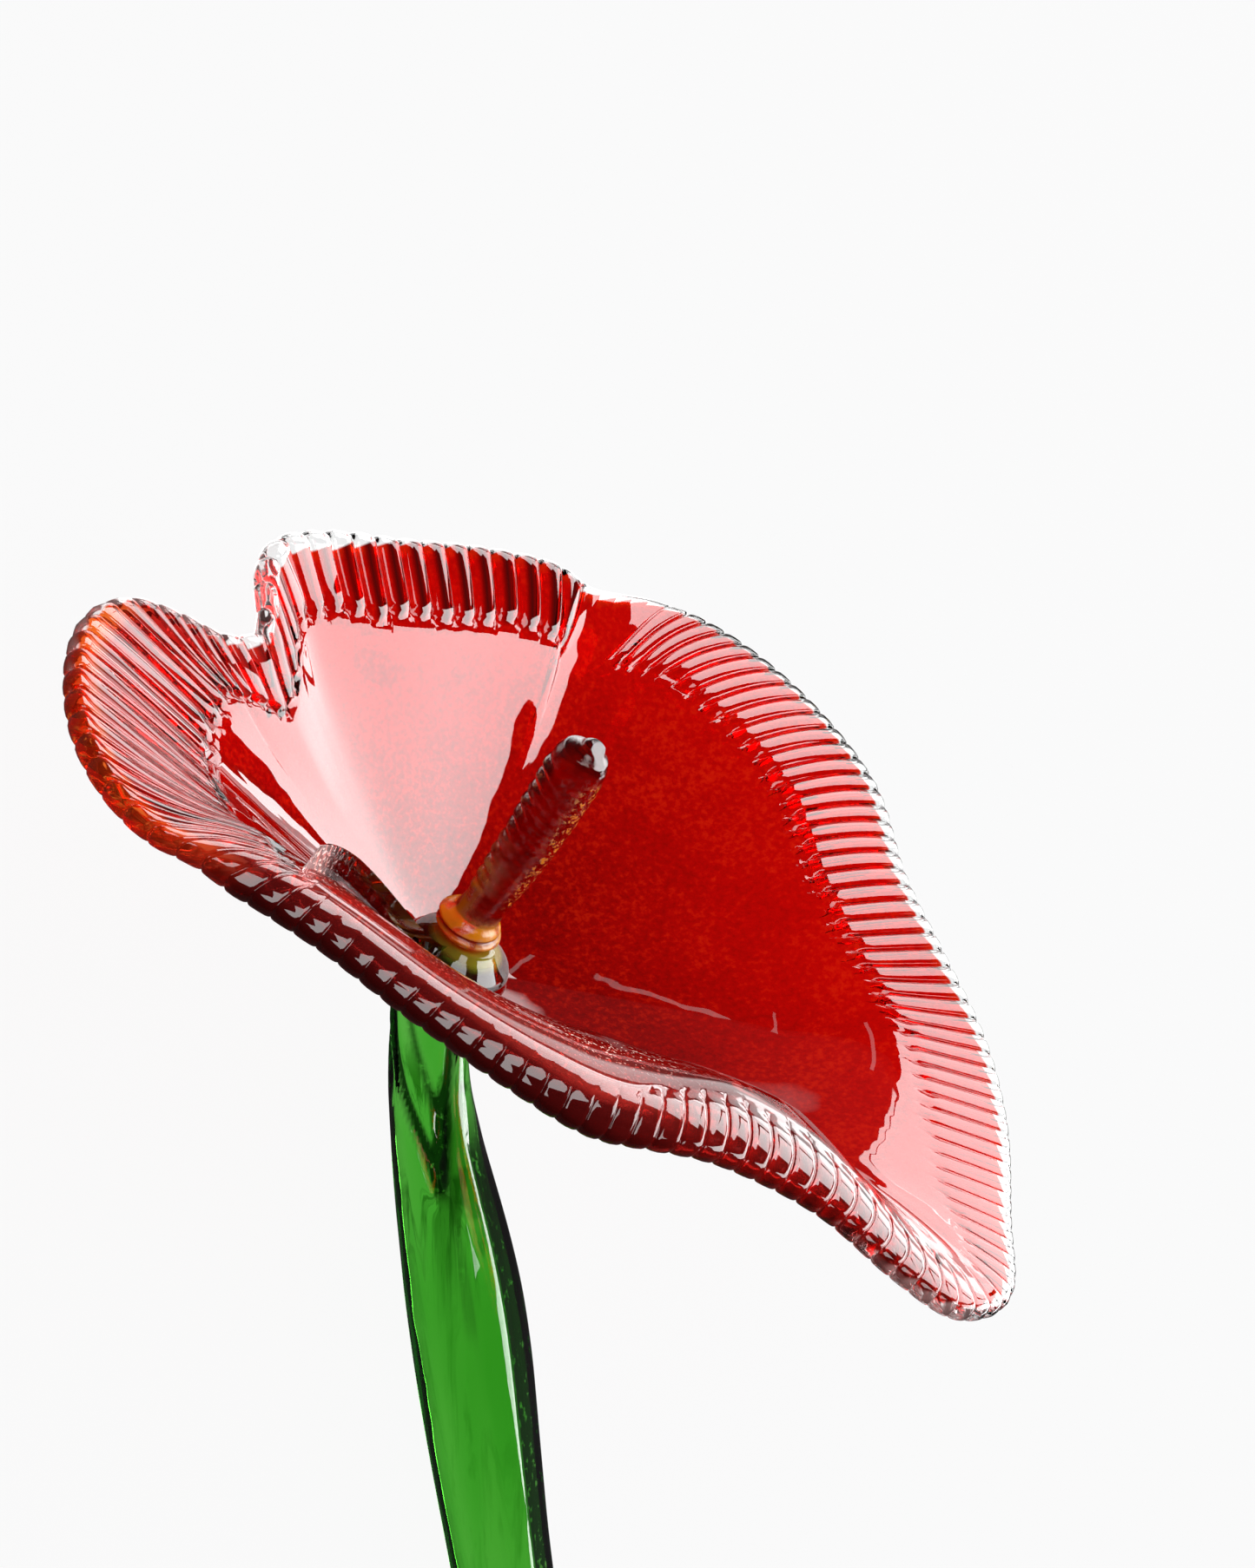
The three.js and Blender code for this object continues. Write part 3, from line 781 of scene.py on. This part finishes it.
def stem_rings(settings):
    seat, axis = np.array(SEAT), BLOOM_AXES[:, 2]
    route = np.array(STEM_ROUTE, float)
    stops = [seat, seat - axis * NECK_LENGTH / 2, seat - axis * NECK_LENGTH]
    stops += [np.array([x, y, lift + STEM_MEAN_RADIUS]) for x, y, lift in STEM_ROUTE]
    line, _ = spline(stops, 40)
    line, run = spline(stops, int(lengths(line)[-1] / STEM_STEP))
    tangent, side, up = moving_axes(line)
    radii = np.array(STEM_RADII, float)
    softened = np.convolve(np.pad(np.interp(run, *radii.T), 9, mode="edge"), np.ones(19) / 19,
                           "valid")
    angle = np.linspace(0, 2 * math.pi, STEM_SIDES, endpoint=False)
    shows = unit(np.array(STEM_SHOWS))
    front = np.arctan2(up @ shows, side @ shows)
    turned = np.degrees(angle[None] - front[:, None])
    turned = (turned * STEM_HAND + 180) % 360 - 180
    shaped = smooth(run, *SHAPED_FROM)[:, None]
    flats = sum(np.clip(np.cos(np.radians(turned - way)) / away, 0, None) ** FLAT_SHARPNESS
                for way, away in STEM_FLATS) ** (-1 / FLAT_SHARPNESS)
    radius = softened[:, None] * mix(1, np.minimum(flats, 1.06), shaped)
    folds = np.zeros_like(radius)
    for first, last, start, end, depth in STEM_FOLDS:
        middle = mix(first, last, smooth(run, start, end))[:, None]
        off = (turned - middle + 180) % 360 - 180
        shown = smooth(run, start - 3, start + 2) * (1 - smooth(run, end - 4, end + 3))
        folds += depth * shown[:, None] * np.exp(-(off / FOLD_WIDTH) ** 2)
    radius -= settings.folds * folds
    dark = smooth(turned, *DARK_SIDE) * (1 - smooth(turned, *DARK_SIDE_END))
    dark *= smooth(run, 12, 24)[:, None]
    # The folds at the neck take painted shade too.
    dark = np.maximum(dark, smooth(folds, 0.12, 0.5))
    rings = (line[:, None] + radius[..., None] * (np.cos(angle)[None, :, None] * side[:, None]
                                                  + np.sin(angle)[None, :, None] * up[:, None]))
    lift = np.interp(-line[:, 1], -route[:, 1], route[:, 2])
    laid = smooth(run, *LAID_FROM)
    rings[..., 2] += (laid * (lift - rings[..., 2].min(1)))[:, None]

    # The cut end is rounded off.
    middle = rings[-1].mean(0)
    ends = []
    for k in range(1, 9):
        a = 0.5 * math.pi * k / 8
        shrunk = middle + (rings[-1] - middle) * max(math.cos(a), 0.004)
        ends.append(shrunk + tangent[-1] * CUT_ROUNDING * math.sin(a))

    # The button, from its top down to the neck.
    heights, widths = np.array(BUTTON[::-1], float).T
    t = np.linspace(0, 1, 33)
    knots = np.linspace(0, 1, len(heights))
    fine, wide = np.interp(t, knots, heights), np.interp(t, knots, widths)
    button = [seat + axis * h + r * (np.cos(angle)[:, None] * side[0]
                                     + np.sin(angle)[:, None] * up[0])
              for h, r in zip(fine, wide)]
    def whole(*parts):
        """A mark of the button, the rod and the rounded end, one below the other."""
        counts = len(button), len(rings), len(ends)
        return np.concatenate([np.broadcast_to(part, (count, STEM_SIDES))
                               for part, count in zip(parts, counts)])

    neck = smooth(run, 8, 14) * (1 - smooth(run, 26, 44))
    marks = {
        "dark": whole(smooth(wide, *DARK_BUTTON)[:, None], dark, dark[-1:]),
        "neck": whole(0, neck[:, None], 0),
        "button": whole(1, (1 - smooth(run, 1, 5))[:, None], 0),
    }
    return np.concatenate([button, rings, ends]), marks


CLEAR_GREEN, THREAD_GREEN = (0.97, 1.0, 0.95), (0.30, 0.55, 0.20)
STROKE_GREEN, STREAK_GREEN = (0.10, 0.22, 0.05), (0.50, 0.80, 0.45)
SHADED_GREEN = (0.0008, 0.005, 0.0006)
BUTTON_OLIVE, BUTTON_PAINTED_SHADE = (0.30, 0.25, 0.02), (0.03, 0.004, 0.003)


def green_material(settings):
    """Green glass, drawn out hot: long dark and pale threads run along it."""
    material, tree = new_material("green_glass")
    place = add(tree, "TexCoord").outputs["Object"]
    threads = add(tree, "Mapping", {"Vector": place, "Scale": (1.0, 0.06, 1.0)})
    fine = noise(tree, threads.outputs[0], 900.0, 4.0, 0.6)
    broad = noise(tree, threads.outputs[0], 260.0, 2.0)
    both = product(tree, fine, broad)
    dark = ramp(tree, both, 0.20, 0.10)
    strokes = product(tree, mark(tree, "neck"), ramp(tree, both, 0.235, 0.19))
    colour = layered(tree, CLEAR_GREEN, (dark, THREAD_GREEN), (strokes, STROKE_GREEN))
    # Streaks of yellower and of deeper green.
    slow = add(tree, "Mapping", {"Vector": place, "Scale": (1.0, 0.12, 1.0)})
    cloud = noise(tree, slow.outputs[0], 140.0, 2.0)
    colour = blend_colour(tree, ramp(tree, cloud, 0.42, 0.62), colour, STREAK_GREEN, "MULTIPLY")
    # Painted shade on the stem's shaded side, in its folds and on the button's rim, broken up by
    # noise.
    shade_breakup = noise(tree, place, 700.0, 4.0, 0.65)
    button = mark(tree, "button")
    painted_shade = math_node(tree, "MAXIMUM", ramp(tree, shade_breakup, 0.80, 0.58), button)
    painted_shade = product(tree, mark(tree, "dark"), painted_shade)
    shaded = blend_colour(tree, button, SHADED_GREEN, BUTTON_PAINTED_SHADE)
    colour = layered(tree, colour, (button, BUTTON_OLIVE), (painted_shade, shaded))
    clear = add(tree, "MapRange", {0: button, 3: 1.0, 4: 0.5}).outputs[0]
    ripple = noise(tree, threads.outputs[0], 420.0, 2.0)
    finish_glass(tree, colour, 0.02, clear, (0.2, 0.0004, ripple), (0.40, 0.75, 0.35),
                 (settings.green, settings.density))
    return material


class FLOWER_OT_stem(Operator):
    """Make the green stem with the button on its top"""

    bl_idname = "flower.stem"
    bl_label = "Green stem"

    def execute(self, context):
        settings = context.scene.flower_stem
        rings, marks = stem_rings(settings)
        make_piece("stem_glass", "stem", rings,
                   tube_faces(len(rings), STEM_SIDES), green_material(settings), marks)
        return {"FINISHED"}


# ---- The spadix ----

def spadix_rings(settings):
    profile = np.array(FOOT + SPADIX, float)
    steps = lengths(profile)
    at = np.linspace(0, steps[-1], int(steps[-1] / SPADIX_STEP))
    height, radius, shift = (np.interp(at, steps, column) for column in profile.T)
    angle = np.linspace(0, 2 * math.pi, SPADIX_SIDES, endpoint=False)
    turn, tall = np.degrees(angle)[None], height[:, None]

    def beside(side):
        off = (turn - side[0] + 180) % 360 - 180
        return np.exp(-(off / side[1]) ** 2)

    # Pressed scales in a row up one side, softer ones all over, and the coil round the foot.
    on_rod = (smooth(height, 8, 11) * (1 - smooth(height, 27, 29)))[:, None]
    bubbles = np.abs(np.sin(math.pi * tall / 1.75)) ** 0.6
    soft = np.cos(np.radians(4 * turn) + 2.1 * tall) * np.cos(2 * math.pi * tall / 2.6)
    row = beside(SCALE_SIDE)
    lift = on_rod * settings.scale_height / MM * (row * (2 * bubbles - 1) + 0.22 * soft)
    low, rise, depth = COIL
    groove = low + rise * ((turn - COIL_SEAM) % 360) / 360
    groove = np.exp(-((tall - groove) / 0.26) ** 2) * (tall < 6.2)
    lift = lift - depth * groove
    radius = np.maximum(radius[:, None] + lift, 0.02)
    x = shift[:, None] + radius * np.cos(angle)[None]
    y = radius * np.sin(angle)[None]
    points = np.stack([x, y, np.broadcast_to(tall, x.shape)], -1)

    # The flat at the end.
    facet = unit(np.array(FACET))
    beyond = np.clip((points - FACET_MIDDLE) @ facet - FACET_AWAY, 0, None)
    points -= (beyond * smooth(tall, 24, 26))[..., None] * facet
    grit = on_rod * np.maximum(beside(GRIT_SIDE), 0.45 * row)
    gold = np.maximum(1 - smooth(tall, 6, 8), beside(GOLD_SIDE) * (1 - smooth(tall, 10, 19)))
    # Painted shade in the coil's groove and over the end.
    shaded = np.maximum(groove, 0.75 * smooth(tall, 28.4, 30.2))
    marks = {"grit": grit, "gold": gold, "shaded": shaded}
    return from_bloom(points), marks


PALE_AMBER, DARK_AMBER = (0.80, 0.55, 0.32), (0.38, 0.08, 0.03)
SPECK_ORANGE, GOLD, PAINTED_SHADE_BROWN = (0.80, 0.30, 0.02), (0.62, 0.29, 0.012), (0.12, 0.03, 0.01)


def amber_material(settings):
    """Amber glass with a dark red heart and a gritty, golden side."""
    material, tree = new_material("amber_glass")
    place = add(tree, "TexCoord").outputs["Object"]
    grit = noise(tree, place, 1700.0, 4.0, 0.7)
    cloud = noise(tree, place, 420.0, 2.0)
    dark = ramp(tree, product(tree, grit, cloud), 0.27, 0.14)
    specks = product(tree, ramp(tree, grit, 0.52, 0.60), ramp(tree, mark(tree, "grit"), 0.2, 0.7))
    gold = product(tree, mark(tree, "gold"), ramp(tree, cloud, 0.30, 0.52))
    # The shaded mark lays painted shade in brown.
    colour = layered(tree, PALE_AMBER, (dark, DARK_AMBER), (specks, SPECK_ORANGE), (gold, GOLD),
                     (mark(tree, "shaded"), PAINTED_SHADE_BROWN))
    cloudy = math_node(tree, "MAXIMUM", specks, gold)
    clear = math_node(tree, "SUBTRACT", 1.0, product(tree, cloudy, 0.65))
    finish_glass(tree, colour, 0.03, clear, (0.2, 0.0003, grit), (0.75, 0.4, 0.2),
                 (settings.amber, settings.density))
    return material


class FLOWER_OT_spadix(Operator):
    """Make the amber spadix on its coiled foot"""

    bl_idname = "flower.spadix"
    bl_label = "Amber spadix"

    def execute(self, context):
        settings = context.scene.flower_spadix
        rings, marks = spadix_rings(settings)
        make_piece("spadix_glass", "spadix", rings,
                   tube_faces(len(rings), SPADIX_SIDES), amber_material(settings), marks)
        return {"FINISHED"}


# ---- The stage ----

def camera_axes():
    """The camera's axes in the flower's frame: right, up and back are its columns."""
    tilt, swing = (math.radians(a) for a in CAMERA_TURN)
    return Matrix.Rotation(tilt, 3, "X") @ Matrix.Rotation(swing, 3, "Y")


def area_light(name, place, aim, up, width, height, glow):
    """A rectangular softbox at a place, facing another, with its height along up."""
    light = bpy.data.lights.new(name, "AREA")
    light.shape = "RECTANGLE"
    light.size, light.size_y = width, height
    light.energy = glow * math.pi * width * height
    obj = bpy.data.objects.new(name, light)
    back = (place - aim).normalized()
    right = up.cross(back).normalized()
    turn = Matrix((right, back.cross(right), back)).transposed()
    obj.matrix_world = Matrix.Translation(place) @ turn.to_4x4()
    bpy.context.scene.collection.objects.link(obj)


def place_light(name, azimuth, elevation, width, height, roll, glow):
    """A softbox facing the flower. Azimuth is from +X, width and height are the angles that it
    spans, and roll leans its top towards lower azimuths, all in degrees."""
    a, e = math.radians(azimuth), math.radians(elevation)
    towards = Vector((math.cos(a) * math.cos(e), math.sin(a) * math.cos(e), math.sin(e)))
    up = Matrix.Rotation(math.radians(roll), 3, towards) @ Vector((0.0, 0.0, 1.0))
    seat = Vector(SEAT) * MM
    spans = (2 * LIGHT_DISTANCE * math.tan(math.radians(angle / 2)) for angle in (width, height))
    area_light(name, seat + towards * LIGHT_DISTANCE, seat, up, *spans, glow)


def place_strip(name, start, end, width, glow):
    """A long, narrow light between two places in millimetres, facing the flower."""
    start, end = Vector(start) * MM, Vector(end) * MM
    area_light(name, (start + end) / 2, Vector(SEAT) * MM, end - start, width * MM,
               (end - start).length, glow)


def floor_material(settings):
    """A pale surface, lit softly from within, with pools of painted light that only reflections
    see.
    """
    material, tree = new_material("pale_surface")
    place = add(tree, "TexCoord").outputs["Object"]
    shine = settings.far_painted_shine
    for x, y, radius, fade, share, level in POOLS:
        away = add(tree, "VectorMath", {0: place, 1: (x, y, 0.0)}, operation="DISTANCE")
        lit = ramp(tree, away.outputs["Value"], radius * fade, radius)
        shine = add(tree, "MapRange", {
            0: lit, 3: shine, 4: share * getattr(settings, level)}).outputs[0]
    path = add(tree, "LightPath")
    glow = add(tree, "MapRange", {0: path.outputs["Is Reflection Ray"], 3: settings.floor_glow,
                                  4: shine}).outputs[0]
    plain = add(tree, "BsdfDiffuse", {"Color": (*settings.floor_colour, 1.0)})
    shine = add(tree, "Emission", {"Color": (1.0, 1.0, 1.0, 1.0), "Strength": glow})
    both = add(tree, "AddShader", {0: plain.outputs[0], 1: shine.outputs[0]})
    add(tree, "OutputMaterial", {"Surface": both.outputs[0]})
    return material


def studio_world(settings):
    world = bpy.data.worlds.new("studio")
    world.use_nodes = True
    tree = world.node_tree
    tree.nodes.clear()
    back = add(tree, "Background", {"Color": (1.0, 1.0, 1.0, 1.0), "Strength": settings.sky})
    add(tree, "OutputWorld", {"Surface": back.outputs[0]})
    bpy.context.scene.world = world


class FLOWER_OT_stage(Operator):
    """Make the pale surface, the soft lights and the camera"""

    bl_idname = "flower.stage"
    bl_label = "Stage"

    def execute(self, context):
        settings = context.scene.flower_stage
        scene = context.scene
        scene.view_settings.view_transform = "Standard"
        corners = [(x * FLOOR_HALF, y * FLOOR_HALF, 0)
                   for x, y in ((-1, -1), (1, -1), (1, 1), (-1, 1))]
        mesh = bpy.data.meshes.new("surface")
        mesh.from_pydata(corners, [], [(0, 1, 2, 3)])
        mesh.materials.append(floor_material(settings))
        floor = bpy.data.objects.new("surface", mesh)
        scene.collection.objects.link(floor)
        studio_world(settings)
        for name, (*where, glow) in LIGHTS.items():
            place_light(name, *where, getattr(settings, glow))
        place_strip("low_strip", *LOW_STRIP, settings.strip_glow)

        camera = bpy.data.cameras.new("camera")
        camera.sensor_fit = "VERTICAL"
        camera.sensor_height = SENSOR
        camera.lens = SENSOR * FOCAL_PIXELS / IMAGE_HEIGHT
        camera.clip_start = 0.01
        obj = bpy.data.objects.new("camera", camera)
        axes = camera_axes()
        place = (Vector(SEAT) + axes @ Vector(CAMERA_PLACE)) * MM
        obj.matrix_world = Matrix.Translation(place) @ axes.to_4x4()
        scene.collection.objects.link(obj)
        scene.camera = obj
        return {"FINISHED"}


class FLOWER_PT_panel(Panel):
    """Lists the flower's pieces and their settings"""

    bl_label = "Glass Flower"
    bl_idname = "FLOWER_PT_panel"
    bl_space_type = "VIEW_3D"
    bl_region_type = "UI"
    bl_category = "Glass Flower"

    def draw(self, context):
        scene = context.scene
        for operator, group in (
            ("flower.heart", scene.flower_heart), ("flower.stem", scene.flower_stem),
            ("flower.spadix", scene.flower_spadix), ("flower.stage", scene.flower_stage),
        ):
            box = self.layout.box()
            box.operator(operator)
            for key in group.bl_rna.properties.keys():
                if key not in {"rna_type", "name"}:
                    box.prop(group, key)


CLASSES = (
    HeartSettings, StemSettings, SpadixSettings, StageSettings,
    FLOWER_OT_heart, FLOWER_OT_stem, FLOWER_OT_spadix, FLOWER_OT_stage, FLOWER_PT_panel,
)
GROUPS = {
    "flower_heart": HeartSettings, "flower_stem": StemSettings,
    "flower_spadix": SpadixSettings, "flower_stage": StageSettings,
}


def register():
    for cls in CLASSES:
        bpy.utils.register_class(cls)
    for name, cls in GROUPS.items():
        setattr(bpy.types.Scene, name, PointerProperty(type=cls))


def unregister():
    for name in GROUPS:
        delattr(bpy.types.Scene, name)
    for cls in reversed(CLASSES):
        bpy.utils.unregister_class(cls)


def main():
    register()
    bpy.ops.flower.stage()
    bpy.ops.flower.heart()
    bpy.ops.flower.stem()
    bpy.ops.flower.spadix()
    bpy.context.view_layer.update()


if __name__ == "__main__":
    main()
